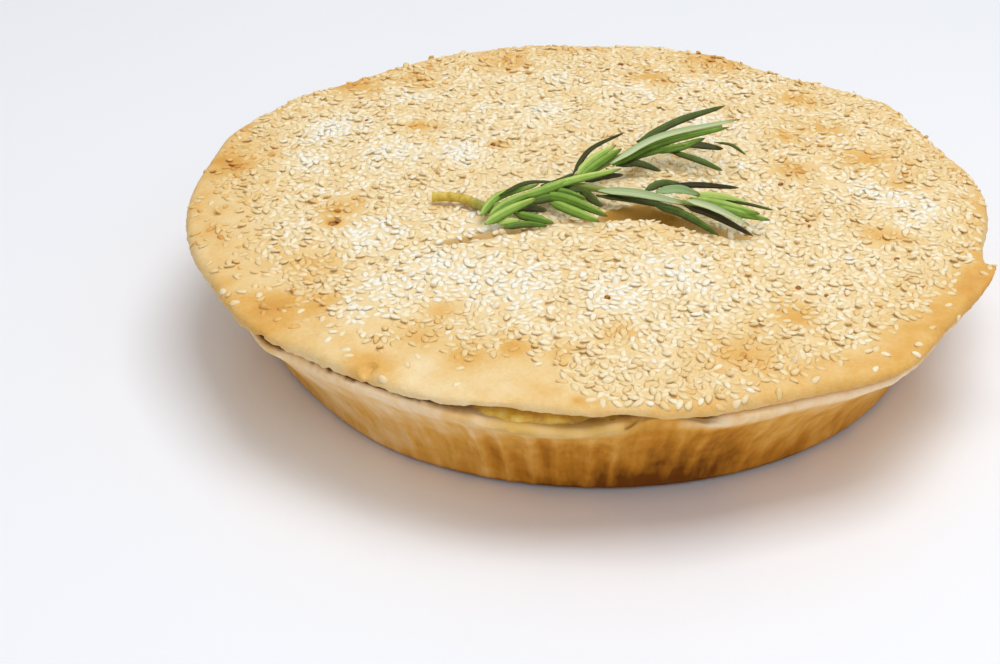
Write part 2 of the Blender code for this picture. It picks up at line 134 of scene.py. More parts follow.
# Where the lid's edge is lifted off the rim, and where it reaches farther or less: azimuth, half width, by
LID_LIFTS = ((213, 7, 0.5), (222, 6, 0.6), (250, 5, 0.35), (256, 6, 0.9), (273, 5, 0.35), (337, 8, 1.7))
LID_LOBES = (
    (34, 10, 2.8), (17, 10, -1.5), (53, 11, -3.0), (68, 9, 2.4), (79, 9, 2.6), (127, 22, -2.7),
    (158, 12, 1.6), (190, 26, 0.5), (219, 13, 1.7), (240, 8, -0.3), (262, 14, -1.9), (289, 7, -0.4),
    (309, 15, 3.4), (345, 11, -2.6), (273, 5, -1.4), (354, 9, -0.9),
)
# The flap at the right: azimuths of its start and of the tear that ends it, and how far it stands out
FLAP_START = 322
FLAP_TEAR = 339
FLAP_REACH = 2.6
TEAR_WIDTH = 0.4
LID_CELLS = 232  # across the lid's upper side, which makes them about 0.8 mm wide
LID_EDGE = (  # inset, height, how ragged
    (2.3, 34.1, 0.0), (1.5, 33.85, 0.1), (0.85, 33.4, 0.2), (0.4, 32.8, 0.4), (0.12, 32.2, 0.7),
    (0.0, 31.6, 1.0), (0.1, 31.25, 1.0), (0.6, 31.1, 0.8), (2.2, 31.2, 0.4), (5.0, 31.3, 0.0),
    (10.0, 31.05, 0.0), (22.0, 31.6, 0.0),
)

# The steam vent: points along it and its half width there, from left to right
VENT = (
    (-37, -32, 1.0), (-29.5, -30.6, 1.5), (-22, -27.6, 1.2), (-8, -22, 0.8), (2, -20.5, 1.6), (7, -18, 3.1),
    (12, -17.5, 3.6), (17, -19.5, 3.0), (23, -23, 2.0), (31, -27, 1.6), (38, -28.5, 1.0),
)
VENT_DEPTH = 2.0
VENT_LIP = 0.55
VENT_SIDES, VENT_FRONT, VENT_BACK = 44, -40, -5  # nothing of it lies past these
PIT_DEPTH = 1.1

# Dough with few seeds along the edge: azimuth, width of the band, share of the seeds that lie on it
BARE_BAND = (
    (0, 2.2, 0.35), (50, 2.0, 0.4), (80, 2.4, 0.4), (100, 1.4, 0.4), (140, 1.8, 0.4), (155, 4.0, 0.35),
    (177, 8.5, 0.3), (182, 10.0, 0.35), (187, 14.0, 0.4), (195, 15.0, 0.42), (204, 14.0, 0.36),
    (210, 12.0, 0.24), (217, 13.0, 0.14), (226, 13.0, 0.1), (232, 12.0, 0.08), (238, 11.0, 0.05),
    (247, 15.0, 0.01), (257, 17.0, 0.01), (263, 14.0, 0.03), (267, 6.0, 0.1), (271, 1.0, 0.2),
    (285, 1.5, 0.2), (290, 4.0, 0.2), (296, 7.0, 0.16), (305, 9.0, 0.12), (312, 10.0, 0.12),
    (320, 8.0, 0.1), (328, 6.0, 0.1), (333, 8.0, 0.05), (337, 9.0, 0.0), (338.5, 3.0, 0.35), (360, 2.2, 0.35),
)
EDGE_CLEARANCE = 0.9  # of the seeds
SEED_INSETS = ((284, 18, -0.5), (35, 40, -0.45), (88, 24, 0.7))  # azimuth, half width, how much farther in
LONE_SEEDS = (
    (-83, -34), (-82, -31), (-83, -44), (-86, -50), (-66, -54), (-60, -73), (-59, -70), (-56, -77),
    (-55, -79), (-47, -87), (-48, -89), (-14, -83), (0, -87), (59, -82), (59, -85), (62, -83), (69, -75),
    (72, -76), (82, -57), (66, -66), (82, -23), (-6, -80), (-31, -84), (-71, -60),
)
# Browner and paler dough along the edge: azimuth, half width, insets between which it fades, tone
EDGE_TONES = (
    (250, 38, 8, 20, -0.16), (190, 34, 8, 22, -0.04), (318, 30, 6, 16, 0.2), (334, 9, 2, 9, 0.2),
)
# Places where the dough is browner, and where it is paler and the seeds whiter: x, y, radius
GOLDEN = (
    (72, 18, 9), (64, 38, 8), (53, 31, 6), (52, 10, 6), (38, 85, 9), (-62, 67, 9), (-46, 67, 7),
    (-44, 36, 4), (-66, -40, 8), (-73, -60, 9), (-63, -58, 8), (-50, -83, 6), (-40, -72, 6),
    (-36, -62, 4), (-19, -77, 5), (69, -25, 6), (44, -63, 7), (-90, 17, 8), (4, -70, 5), (-9, -79, 4),
    (-62, -12, 6), (78, 5, 6), (20, 70, 8), (-20, 84, 8), (60, 58, 7), (30, -78, 9), (-30, -80, 6),
    (-5.5, -95.5, 2.2), (-62.7, -19.5, 3.5), (-23, 22.3, 3.5),
)
PALE = (
    (75, -2, 9), (82, -11, 6), (76, -18, 5), (-29, -47, 11), (-39, -40, 9), (-47, -52, 9),
    (-18, -52, 9), (-68, 36, 9), (-33, 18, 9), (-50, 20, 10), (-72, 14, 6), (5, -56, 11),
    (19, -47, 11), (-47, 60, 7), (-6, 71, 4), (16, 61, 6), (-56, -61, 6), (-53, -27, 8),
    (-28, -22, 6), (-10, 45, 8), (30, 40, 8),
)
# Small pits, and spots without seeds: x, y, radius
PITS = ((-62.7, -19.5, 1.7), (-23, 22.3, 1.5), (-32, 46, 1.0), (-50, -83, 1.6))
BARE_SPOTS = ((-28, -23, 3.0), (72, 19, 1.8), (66, 36, 1.5), (-61, 67, 2.2), (-50, -68, 2))

# Sesame
SEED_SPACING = 1.42
SEED_SIZE = (2.8, 1.9, 0.8)
UPPER_SHARE = 0.16  # of the seeds that lie on others
UPPER_LIFT, LOWER_LIFT = 0.38, 0.04
UPPER_TILTS, LOWER_TILTS = (18, 22), (9, 7)  # usual tilts in degrees, about X and Y
SEED_FIELD = 102.5  # radius that they are strewn over
SEED_THROWS = 90000
SEED_DRAW, CRUMB_DRAW = 11, 5  # starts of the random draws
SEED_KINDS = (("sesame_pale", 0.3), ("sesame_straw", 0.52), ("sesame_gold", math.inf))  # less toasted than
DROP_HEIGHT = 60  # from which seeds and crumbs are dropped on the lid

# Crumbs of dough that baked dark: x, y, size
CRUMBS = (
    (48, 1, 1.1), (52, -19, 0.8), (52.3, -21.5, 0.9), (2, -57, 1.3), (46, -51, 1.0), (52, -54, 0.9),
    (-62.9, -19.8, 2.2), (-61.6, -18.8, 1.4), (-22.4, 22.1, 1.5), (-24.2, 22.6, 1.2),
    (-75, -22, 0.9), (27, 55, 1.0), (-58, 40, 1.1), (12, 82, 1.2), (-36, 60, 0.9), (71, -36, 1.0),
)

# Points along the woody stem and its two branches, and their radii from start to end
BRANCHES = {
    "stem": (
        (-39, -12, 38.9), (-34.5, -12, 39), (-30.5, -13.3, 38.9), (-26.5, -16.4, 38.6), (-23, -17, 38.8),
        (-18, -15, 39.4), (-12.5, -11.5, 40.4), (-6.5, -8.5, 41.2),
    ),
    "upper": (
        (-7.5, -8.5, 41), (0, -3, 41.8), (6, 2, 42.6), (13.5, 7.5, 43.6), (21, 11.5, 44.6),
        (28.5, 14, 45.4), (34, 15, 46),
    ),
    "lower": (
        (-7.5, -8.5, 41), (-0.5, -10.5, 41), (7.5, -13.5, 40.8), (15, -15.5, 40.8), (22.5, -18.5, 40.8),
        (29.5, -22.5, 40.8), (35, -26.5, 40.6),
    ),
}
BRANCH_RADII = {"stem": (1.15, 1.0), "upper": (0.9, 0.5), "lower": (0.9, 0.5)}
# Needles: base, middle and tip, width, turn about its length, tone from dark to pale; dark tones are partly
# the needle's own colour and partly painted shade
NEEDLES = (
    ((-27, -23, 39.5), (-22.5, -14.5, 40.6), (-13, -11, 42), 2.1, 40, 0.7),
    ((-22.5, -15, 41), (-16.5, -11, 42.4), (-10, -9.5, 42.2), 1.8, 0, 0.16),
    ((-25, -24, 39.8), (-20, -19, 41.2), (-12.5, -14.5, 42.2), 2.2, 45, 0.66),
    ((-26, -27, 39.2), (-20.5, -23.5, 41), (-13.5, -18.5, 42), 2.4, 45, 0.72),
    ((-23, -25.5, 38.8), (-20.5, -25, 39), (-17.5, -24.5, 39), 1.8, 40, 0.95),
    ((-19, -21.5, 39.4), (-14, -24.5, 39.6), (-9.5, -25.5, 38.8), 2.3, 50, 0.45),
    ((-21.5, -27.5, 38.6), (-16.5, -26, 38.8), (-11, -26.5, 38.6), 1.8, 40, 0.34),
    ((-17.5, -17.5, 40.2), (-12.5, -16.5, 40.8), (-7, -15, 41.2), 2.4, 40, 0.3),
    ((-19.5, -19.5, 39.6), (-15.5, -19, 39.8), (-11, -20, 39.4), 2.3, 40, 0.08),
    ((-11.5, -13, 41.2), (-7, -14, 41.4), (-1.5, -16, 40.6), 2.2, 50, 0.42),
    ((-14, -14.5, 42), (-5, -11, 43.2), (7.5, -6, 44), 2.1, 40, 0.8),
    ((-17.5, -17, 41.5), (-10, -14, 42.6), (-3, -9, 43.2), 2.3, 50, 0.62),
    ((-12.5, -11.5, 42), (-8, -10.5, 43), (-4, -8, 43.8), 1.6, 10, 0.14),
    ((-4.5, -6, 42.5), (0, 1.5, 45.8), (8.5, 4, 49.3), 1.5, 10, 0.08),
    ((-3.5, -6.5, 42.5), (0.5, -1.5, 44.4), (6.5, 2.5, 46.5), 2.1, 45, 0.86),
    ((-2.5, -7, 42.2), (2.5, -2, 43.8), (8, 3.5, 45), 2.3, 50, 0.52),
    ((-1.5, -8, 41.5), (3, -7, 42.4), (8, -6.5, 42.6), 1.8, 40, 0.03),
    ((-8, -11.5, 41), (-5, -12, 41.4), (-1.5, -12.5, 41), 2, 30, 0.14),
    ((-12, -14.5, 40.8), (-6, -18, 41.4), (3.5, -22.5, 39.2), 2.7, 55, 0.5),
    ((-10.5, -16, 40), (-4.5, -22.5, 40.4), (1.5, -24.5, 38.8), 2.4, 50, 0.62),
    ((-3, -10, 41), (-0.5, -15, 40.6), (2.5, -16.5, 38.8), 2.2, 40, 0.2),
    ((12, 8.5, 44.6), (23, 16.5, 47), (35, 20, 49.6), 2.2, 30, 0.2),
    ((5, -1.5, 43.2), (18, 8.5, 46.2), (38.5, 14, 48.6), 1.7, -140, 0.75),
    ((5.5, -0.5, 42.4), (17.5, 8, 44.6), (35.5, 12.5, 47), 2.3, 40, 0.5),
    ((6.5, 1, 41.8), (13.5, 6, 42.8), (24.5, 9, 43.6), 2.5, 45, 0.46),
    ((15.5, 7.5, 42.6), (22.5, 8.5, 43.2), (29.5, 11.5, 44.4), 2.2, 40, 0.56),
    ((23.5, 10.5, 43.2), (28.5, 9.5, 43.4), (34, 9, 42.6), 2.2, 30, 0.1),
    ((32, 9.5, 44.2), (36, 8.5, 44), (39.5, 6.5, 42.2), 1.3, 0, 0.3),
    ((20, 9.5, 42), (27.5, 5, 41.4), (33.5, 3.5, 39.2), 2, 25, 0.26),
    ((6.5, 1, 41.6), (12, 3, 41.4), (18, 2.5, 39.4), 2.2, 30, 0.14),
    ((1.5, -12.5, 41.2), (11, -16, 42.2), (22, -21.5, 42.2), 2.2, -140, 0.6),
    ((1, -13.5, 40.4), (11, -15.5, 40.2), (22, -19.5, 39.6), 2.2, 20, 0.12),
    ((13, -13, 41.6), (17, -11, 42.6), (21.5, -11.5, 42.8), 2.2, 30, 0.22),
    ((18.5, -11.5, 42.2), (26, -13, 43.2), (35.5, -15.5, 43.6), 1.7, 35, 0),
    ((15.5, -14, 41.6), (21, -14, 42.4), (26, -17, 42.4), 2.2, -135, 0.1),
    ((24.5, -16, 42), (31, -18, 42.4), (38, -21, 41.8), 2.2, 40, 0.95),
    ((31.5, -18.5, 42), (37.5, -21, 42), (43, -23, 41.4), 1.2, 0, 0.2),
    ((23.5, -18, 42), (30.5, -22.5, 42.6), (39.5, -26, 41.8), 2.4, 45, 0.68),
    ((25, -19, 41.6), (32.5, -24.5, 41.8), (42, -26, 40.2), 2.2, 45, 0.58),
    ((22.5, -19.5, 42.2), (28.5, -24, 42.4), (36.5, -31, 41.4), 1.7, -140, 0.95),
    ((22, -20, 41), (29, -25, 40.8), (37.5, -31.5, 38.8), 1.9, 35, 0.02),
    ((15, -18, 40), (22, -22.5, 39.8), (29.5, -30.5, 38.4), 2.2, 30, 0.25),
)
NEEDLE_SIDES = 20
NEEDLE_ROWS = 20
NEEDLE_THICKNESS = 0.5
NEEDLE_TWIST = 30  # degrees from base to tip
BRANCH_STEPS = 12  # from one of its points to the next
KNOB_RISE = 0.14

# Materials
MIX_FACTOR, MIX_A, MIX_B, MIX_RESULT = 0, 6, 7, 2  # sockets of a colour Mix node
RANGE_SOCKETS = ("Value", "From Min", "From Max", "To Min", "To Max")
STREAK_RADIUS = 90  # about the wall's, so that streaks keep their width
STREAK_STRETCH = 0.3  # so that streaks are about three times as long as wide
SPECKLE_ROUGHNESS = 0.55

# The studio: soft boxes with their place, size, power and colour, the room's light, the floor and the camera
LIGHTS = (
    ("overhead", (170, 60, 1100), 700, 7.7, "#ffffff"),
    ("window_behind", (200, 640, 900), 1300, 0.7, "#fffaf2"),
    ("window_front", (190, -990, 600), 1600, 5.3, "#fcfbfa"),
)
LIGHT_AIM = (0, 0, 30)
ROOM_COLOUR = "#f6f7f8"
ROOM_STRENGTH = 0.47
FLOOR_SIZE = 12000
CAMERA_LENS = 72
CAMERA_PLACE = (-22.18, -451.88, 255.37)
CAMERA_TURN = (59.95, -0.286, 0.165)


# ---------------------------------------------------------------- forms

def bump(azimuth, centre, half_width):
    """A smooth hill round an azimuth: 1 at its centre, 0 from half_width degrees away."""
    away = abs((azimuth - centre + 180) % 360 - 180)
    return math.cos(math.pi / 2 * min(away / half_width, 1)) ** 2


def lobes(azimuth, hills):
    """The sum of some hills round azimuths, each with its half width and height."""
    return sum(height * bump(azimuth, centre, half_width) for centre, half_width, height in hills)


def polar(radius, azimuth, height=0.0):
    turn = math.radians(azimuth)
    return Vector((radius * math.cos(turn), radius * math.sin(turn), height))


def azimuth_of(point):
    return math.degrees(math.atan2(point.y, point.x)) % 360


def settle(point):
    """A point of the rim, the lid or the filling's top, let down by the sag towards the front."""
    return point - UP * FRONT_SAG * min(0, point.y / LID_RADIUS) ** 2


def opening(azimuth):
    return bump(azimuth, OPENING_AZIMUTH, OPENING_HALF_WIDTH)


def smooth(value, low, high):
    """Rises smoothly from 0 at low to 1 at high."""
    share = min(max((value - low) / (high - low), 0), 1)
    return share * share * (3 - 2 * share)


def rough(point, spacing, seed=0):
    """Soft random relief from -1 to 1 whose hills are about spacing apart; seed tells one from another."""
    return noise.noise(point / spacing + Vector((seed * 7.3, seed * 3.1, seed * 5.7)))


def bare_band(azimuth):
    """The width of the band with few seeds, and the share of them that lie on it."""
    for (start, *low), (end, *high) in zip(BARE_BAND, BARE_BAND[1:]):
        if azimuth <= end:
            share = (azimuth - start) / (end - start)
            return [a + (b - a) * share for a, b in zip(low, high)]


def spots(point, places):
    """How far a point lies in any of some soft round places, from 0 to 1."""
    best = 0.0
    for x, y, radius in places:
        away = math.hypot(point.x - x, point.y - y) / radius
        if away < 1.6:
            best = max(best, math.exp(-away * away * 1.2))
    return best


def line_through(rows, spacing):
    """Rows of numbers along a smooth curve through the given rows, about spacing apart in the first two."""
    rows = [np.array(row, float) for row in rows]
    line = []
    for number, (start, end) in enumerate(zip(rows, rows[1:])):
        before = rows[number - 1] if number else start
        after = rows[number + 2] if number + 2 < len(rows) else end
        steps = max(1, round(float(np.hypot(*(end - start)[:2])) / spacing))
        for step in range(steps):
            t = step / steps
            line.append(0.5 * (2 * start + (end - before) * t
                        + (2 * before - 5 * start + 4 * end - after) * t**2
                        + (3 * start - before - 3 * end + after) * t**3))
    return line + [rows[-1]]


def lid_lift(azimuth):
    return lobes(azimuth, LID_LIFTS) + LID_LIFT * opening(azimuth)


def lid_radius(azimuth):
    radius = LID_RADIUS + lobes(azimuth, LID_LOBES)
    if FLAP_START < azimuth < FLAP_TEAR + TEAR_WIDTH:
        grown = ((min(azimuth, FLAP_TEAR) - FLAP_START) / (FLAP_TEAR - FLAP_START)) ** 2
        radius += FLAP_REACH * grown * (1 - smooth(azimuth, FLAP_TEAR, FLAP_TEAR + TEAR_WIDTH))
    return radius


def by_the_vent(x, y):
    return abs(x) < VENT_SIDES and VENT_FRONT < y < VENT_BACK


def vent_place(x, y):
    """The nearest part of the vent: its half width there, and the distance from it, above 0 behind it."""
    best, width = 99.0, 1.0
    for start, end in zip(VENT, VENT[1:]):
        run_x, run_y = end[0] - start[0], end[1] - start[1]
        squared = run_x * run_x + run_y * run_y
        share = min(max(((x - start[0]) * run_x + (y - start[1]) * run_y) / squared, 0), 1)
        off_x, off_y = x - start[0] - run_x * share, y - start[1] - run_y * share
        away = math.hypot(off_x, off_y)
        if away < abs(best):
            best = math.copysign(away, off_y * run_x - off_x * run_y)
            width = start[2] + (end[2] - start[2]) * share
    return width, best


def vent_hollow(x, y):
    """How deep a place lies in the vent, 0 to 1, and how far it is on the vent's raised front lip."""
    if not by_the_vent(x, y):
        return 0.0, 0.0
    width, away = vent_place(x, y)
    wobble = 0.2 * width * rough(Vector((x, y, 3)), 4)
    depth = 1 - smooth(abs(away) + wobble, 0.1 * width, 1.15 * width)
    lip = math.exp(-((away + width + 0.9) / 1.3) ** 2)
    return depth * min(1, 0.3 + 0.25 * width), lip * min(1, width / 3)


def vent_scorch_and_shade(x, y):
    """How brown and bare the dough is round the vent, from 0 to 1, farthest on its back slope: browned dough
    with painted shade of the hollow and the sprig above.
    """
    if not by_the_vent(x, y):
        return 0.0
    width, away = vent_place(x, y)
    reach = 1.5 * width if away > 0 else 0.8 * width
    edge = abs(away) / reach + 0.25 * rough(Vector((x, y, 5)), 2.5)
    return min(1, 0.15 + 0.35 * width) * (1 - smooth(edge, 0.75, 1.1))


def lid_relief(point):
    """The dough's own unevenness: soft swells, blisters and fine crumb."""
    flat = Vector((point.x, point.y, 0))
    blister = max(0.0, rough(flat, 3.4, 4) - 0.25)
    return 0.35 * rough(flat, 9, 1) + 0.12 * rough(flat, 2.6, 2) + 0.35 * blister


def lid_height(x, y):
    """The lid's upper side: a low dome with soft swells, the vent and small pits."""
    flat = Vector((x, y, 0))
    height = LID_SHOULDER + LID_DOME_RISE * (1 - (flat.length / LID_DOME_RADIUS) ** 2)
    height += 0.7 * rough(flat, 26) + lid_relief(flat)
    depth, lip = vent_hollow(x, y)
    height += VENT_LIP * lip - VENT_DEPTH * depth
    for pit_x, pit_y, radius in PITS:
        away = math.hypot(x - pit_x, y - pit_y) / radius
        if away < 2:
            height -= PIT_DEPTH * (1 - smooth(away, 0.3, 1.1)) - 0.15 * bump(90 * away, 110, 60)
    return settle(flat + UP * height).z


# ---------------------------------------------------------------- modelling

def clear_selection():
    bpy.ops.object.select_all(action="DESELECT")


def name_new(name):
    piece = bpy.context.object
    piece.name = name
    piece.data.name = name
    return piece


def place_selected(piece, place):
    """Puts each selected vertex where place says for its azimuth."""
    mesh = bmesh.from_edit_mesh(piece.data)
    for vertex in mesh.verts:
        if vertex.select:
            vertex.co = place(azimuth_of(vertex.co)) * MM
    bmesh.update_edit_mesh(piece.data)


def extrude_rows(piece, rows, place):
    """Extrudes the selected ring once for each row, and puts each new ring where place(row, azimuth) says."""
    for row in rows:
        bpy.ops.mesh.extrude_region_move()
        place_selected(piece, lambda azimuth, row=row: place(row, azimuth))


def select_boundary(piece):
    """Selects the open edges and nothing else."""
    bpy.ops.mesh.select_all(action="DESELECT")
    mesh = bmesh.from_edit_mesh(piece.data)
    for edge in mesh.edges:
        edge.select_set(edge.is_boundary)
    bmesh.update_edit_mesh(piece.data)


def finish_mesh():
    """Turns the faces outwards and shades them smooth, except over sharp edges."""
    bpy.ops.mesh.select_all(action="SELECT")
    bpy.ops.mesh.normals_make_consistent(inside=False)
    bpy.ops.object.mode_set(mode="OBJECT")
    bpy.ops.object.shade_smooth_by_angle(angle=math.radians(SHARP_EDGE))


def lathe(name, steps, rows, place):
    """A closed turned piece: a circle extruded row by row, with a flat face at each end."""
    clear_selection()
    bpy.ops.mesh.primitive_circle_add(vertices=steps, radius=rows[0][0] * MM, fill_type="NGON")
    piece = name_new(name)
    bpy.ops.object.mode_set(mode="EDIT")
    bpy.ops.mesh.select_mode(type="EDGE")
    bpy.ops.mesh.select_all(action="SELECT")
    place_selected(piece, lambda azimuth: place(rows[0], azimuth))
    select_boundary(piece)
    extrude_rows(piece, rows[1:], place)
    bpy.ops.mesh.edge_face_add()
    finish_mesh()
    return piece


def new_piece(name, points, faces, marks):
    """A smooth piece from its points, its faces and the attributes of its points."""
    mesh = bpy.data.meshes.new(name)
    mesh.from_pydata(points, [], faces)
    mesh.shade_smooth()
    for label, values in marks.items():
        mesh.attributes.new(label, "FLOAT", "POINT").data.foreach_set("value", values)
    piece = bpy.data.objects.new(name, mesh)
    bpy.context.collection.objects.link(piece)
    return piece


def copied_faces(mesh, count):
    """The faces of so many copies of a mesh, whose points follow one another."""
    faces = [list(face.vertices) for face in mesh.polygons]
    corners = len(mesh.vertices)
    return [[copy * corners + corner for corner in face] for copy in range(count) for face in faces]


def paint(piece, name, value):
    """Writes value(point in millimetres) to an attribute of the piece's points, for its material to read."""
    layer = piece.data.attributes.new(name, "FLOAT", "POINT")
    layer.data.foreach_set("value", [value(vertex.co / MM) for vertex in piece.data.vertices])


def dress(piece, material, slot, *nodes):
    """Gives a piece its material, hangs it on the root body and hides the solids it stands for; slot is not
    used.
    """
    piece.data.materials.clear()
    piece.data.materials.append(material)
    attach(piece, "root")
    if nodes:
        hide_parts(*nodes)


# ---------------------------------------------------------------- materials

def linear(code):
    """An sRGB hex colour as linear RGBA."""
    shares = [int(code[place:place + 2], 16) / 255 for place in (1, 3, 5)]
    return (*((s / 12.92 if s <= 0.04045 else ((s + 0.055) / 1.055) ** 2.4) for s in shares), 1)


def add(tree, kind, sockets, output=0, stops=(), **settings):
    """Adds a shader node and returns one of its outputs.

    Settings are its own options, sockets are values or links, and stops are a ramp's places and colours.
    """
    node = tree.nodes.new("ShaderNode" + kind)
    for name, value in settings.items():
        setattr(node, name, value)
    for name, value in sockets.items():
        if isinstance(value, bpy.types.NodeSocket):
            tree.links.new(value, node.inputs[name])
        else:
            node.inputs[name].default_value = value
    if stops:
        elements = node.color_ramp.elements
        while len(elements) < len(stops):
            elements.new(0.5)
        for element, (place, code) in zip(elements, stops):
            element.position = place
            element.color = linear(code)
    return node.outputs[output]


def new_material(name, **values):
    """A material with a Principled BSDF whose plain sockets are set; returns it, its tree and the shader."""
    material = bpy.data.materials.new(name)
    material.use_nodes = True
    tree = material.node_tree
    shader = tree.nodes["Principled BSDF"]
    for socket, value in values.items():
        shader.inputs[socket.replace("_", " ")].default_value = value
    return material, tree, shader


def up_the_wall(tree):
    """Coordinates for streaks that run up the case: the wall's slope is taken out and its height squeezed."""
    point = add(tree, "TexCoord", {}, "Object")
    flat = add(tree, "VectorMath", {0: point, 1: (1, 1, 0)}, operation="MULTIPLY")
    ring = add(tree, "VectorMath", {0: flat}, operation="NORMALIZE")
    wall = add(tree, "VectorMath", {0: ring, "Scale": STREAK_RADIUS * MM}, operation="SCALE")
    rise = add(tree, "VectorMath", {0: point, 1: (0, 0, STREAK_STRETCH)}, operation="MULTIPLY")
    return add(tree, "VectorMath", {0: wall, 1: rise}, operation="ADD")


def speckle(tree, spacing, detail=3.0, place=None):
    """Speckles about spacing millimetres apart, on the object's own coordinates or at a given place."""
    place = place or add(tree, "TexCoord", {}, "Object")
    sockets = {"Vector": place, "Scale": 1 / (spacing * MM), "Detail": detail, "Roughness": SPECKLE_ROUGHNESS}
    return add(tree, "TexNoise", sockets, "Fac")


def toned(tree, mark, *grains):
    """A painted attribute made uneven by grains: spacing, how far each shifts the tone, and its place."""
    tone = add(tree, "Attribute", {}, "Fac", attribute_name=mark)
    for spacing, shift, *place in grains:
        grain = speckle(tree, spacing, place=place[0] if place else None)
        uneven = add(tree, "MapRange", dict(zip(RANGE_SOCKETS, (grain, 0.3, 0.7, -shift, shift))))
        tone = add(tree, "Math", {0: tone, 1: uneven}, operation="ADD")
    return tone


def stained(tree, colour, mark, stain, spread=()):
    """A colour that turns to a stain with a painted attribute, or with the range that spread maps it to."""
    share = add(tree, "Attribute", {}, "Fac", attribute_name=mark)
    if spread:
        share = add(tree, "MapRange", dict(zip(RANGE_SOCKETS, (share, *spread))))
    return add(tree, "Mix", {MIX_FACTOR: share, MIX_A: colour, MIX_B: stain}, MIX_RESULT, data_type="RGBA")


def roughen(tree, shader, strength, depth, *patterns):
    """Dents a surface by the sum of some patterns, up to depth millimetres."""
    height = patterns[0]
    for pattern in patterns[1:]:
        height = add(tree, "Math", {0: height, 1: pattern}, operation="ADD")
    dents = add(tree, "Bump", {"Height": height, "Strength": strength, "Distance": depth * MM})
    tree.links.new(dents, shader.inputs["Normal"])


def lid_dough():
    """Shortcrust rolled thin, egg washed and baked: matt and cream, golden in patches, brown in the vent,
    partly painted shade.
    """
    material, tree, shader = new_material(
        "baked shortcrust, egg washed", Roughness=0.55, IOR=1.45, Specular_IOR_Level=0.25,
        Subsurface_Weight=0.15, Subsurface_Scale=1.5 * MM, Subsurface_Radius=(1.0, 0.65, 0.35))
    crust = add(tree, "ValToRGB", {"Fac": toned(tree, "browned", (6, 0.07), (1.1, 0.05))}, stops=(
        (0.0, "#ecd6aa"), (0.25, "#e5c488"), (0.5, "#dcac5c"), (0.75, "#cf923e"), (1.0, "#a0601e")))
    # browned dough with painted shade in the vent and the pits
    scorched_and_shaded_crust = stained(tree, crust, "scorch_and_shade", linear("#a87c2c"))
    tree.links.new(scorched_and_shaded_crust, shader.inputs["Base Color"])
    roughen(tree, shader, 0.5, 0.3, speckle(tree, 1.6, 5), speckle(tree, 0.5, 2))
    return material


def case_dough():
    """Shortcrust baked against a fluted tin: smooth, pale at the floury rim, brown where it met the metal."""
    material, tree, shader = new_material(
        "baked shortcrust, tin side", Roughness=0.7, IOR=1.45, Specular_IOR_Level=0.08,
        Subsurface_Weight=0.1, Subsurface_Scale=2 * MM, Subsurface_Radius=(1.0, 0.5, 0.2))
    wall = up_the_wall(tree)
    crust = add(tree, "ValToRGB", {"Fac": toned(tree, "browned", (8, 0.11), (1.8, 0.08, wall))}, stops=(
        (0.0, "#f3d8b2"), (0.2, "#edc488"), (0.45, "#dfa54c"), (0.7, "#c28026"), (1.0, "#74400c")))
    yolk = stained(tree, crust, "yolk", linear("#cfa858"))
    # painted shade in the crack, in the seam under the lid's edge and under the lid by the crack
    crack = stained(tree, yolk, "crack_and_seam_shade", linear("#6e4816"))
    tree.links.new(crack, shader.inputs["Base Color"])
    roughen(tree, shader, 0.2, 0.25, speckle(tree, 1.8, place=wall), speckle(tree, 0.6, 2))
    return material


def egg_filling():
    """Set egg and cheese with artichoke: moist and glossy, yellow, browner where the oven reached it, with
    painted shade at its top under the lid.
    """
    material, tree, shader = new_material(
        "artichoke filling, baked", Roughness=0.32, IOR=1.4, Subsurface_Weight=0.25,
        Subsurface_Scale=3 * MM, Subsurface_Radius=(1.0, 0.6, 0.2))
    curds = add(tree, "MapRange", dict(zip(RANGE_SOCKETS, (speckle(tree, 3.5, 4), 0.35, 0.65, 0, 1))))
    base = add(tree, "ValToRGB", {"Fac": curds}, stops=(
        (0.0, "#d09c3a"), (0.5, "#e6ba48"), (1.0, "#f0d070")))
    # browned patches, with painted shade along the top under the lid
    seared_and_shaded = stained(tree, base, "seared_and_shaded", linear("#7d5420"))
    tree.links.new(seared_and_shaded, shader.inputs["Base Color"])
    roughen(tree, shader, 0.4, 0.3, speckle(tree, 1.2, 4))
    return material


def hulled_sesame():
    """Hulled sesame seed, waxy, so that light goes a little way in: ivory, toasted to straw and gold."""
    material, tree, shader = new_material(
        "hulled sesame, lightly toasted", Roughness=0.5, IOR=1.47, Specular_IOR_Level=0.3,
        Subsurface_Weight=0.1, Subsurface_Scale=0.6 * MM, Subsurface_Radius=(1.0, 0.85, 0.6))
    skin = add(tree, "ValToRGB", {"Fac": toned(tree, "toasted", (1.5, 0.07))}, stops=(
        (0.0, "#efebdc"), (0.3, "#efdfba"), (0.6, "#e6ca92"), (0.85, "#e2b468"), (1.0, "#d0954c")))
    tip = stained(tree, skin, "along", linear("#d9b078"), spread=(0.7, 1.0, 0.0, 0.45))
    tree.links.new(tip, shader.inputs["Base Color"])
    return material


def dark_crumb():
    """Crumbs of crust that caught in the oven: dry, rust brown with darker points."""
    material, tree, shader = new_material("crust crumb, scorched", Roughness=0.75, IOR=1.45)
    scorch = add(tree, "ValToRGB", {"Fac": speckle(tree, 0.8)}, stops=(
        (0.3, "#6b3c14"), (0.5, "#a3682a"), (0.7, "#c48d48")))
    tree.links.new(scorch, shader.inputs["Base Color"])
    return material


